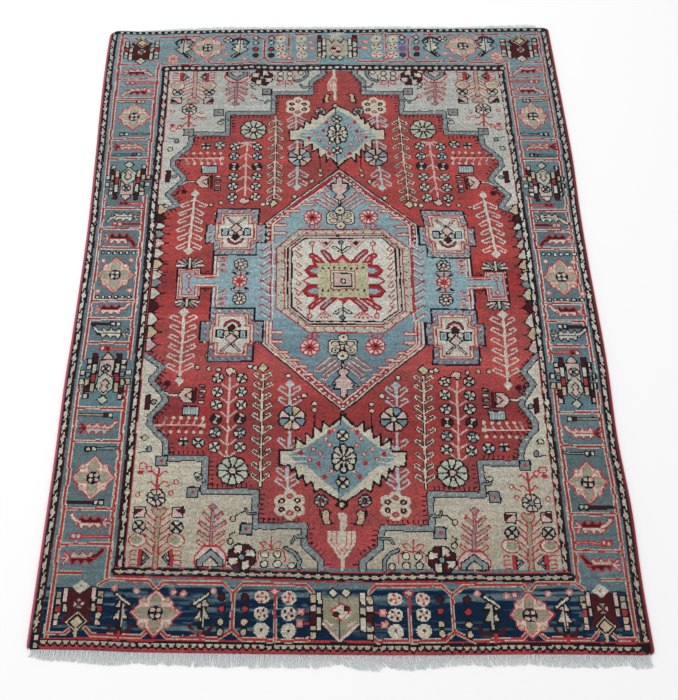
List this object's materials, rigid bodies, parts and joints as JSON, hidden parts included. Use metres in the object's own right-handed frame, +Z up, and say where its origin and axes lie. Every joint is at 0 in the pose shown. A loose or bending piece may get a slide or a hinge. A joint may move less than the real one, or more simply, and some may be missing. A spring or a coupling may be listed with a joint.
{
  "type": "kazak rug",
  "caption": "Rectangular hand-knotted wool rug lying flat, with a hexagonal medallion, geometric borders, overcast long edges and a short cotton fringe at each end.",
  "frame": {"origin": "middle of the rug on the floor, under the centre of its bounding box, fringes included", "axes": "+Z up out of the pile; +Y along the rug towards its far end, where the border is sky blue; +X across it to the right"},
  "size_m": [1.4118, 2.068, 0.0096],
  "materials": {
    "wool_pile": "hand-knotted wool pile, clipped short, with a soft nap",
    "overcast_wool": "wool yarn wrapped round the edge cord, matt",
    "fringe_cotton": "undyed cotton warp ends, matt"
  },
  "bodies": {
    "root": {"rug": "wool_pile", "selvedge_left": "overcast_wool", "selvedge_right": "overcast_wool", "fringe_near": "fringe_cotton", "fringe_far": "fringe_cotton"}
  },
  "joints": []
}
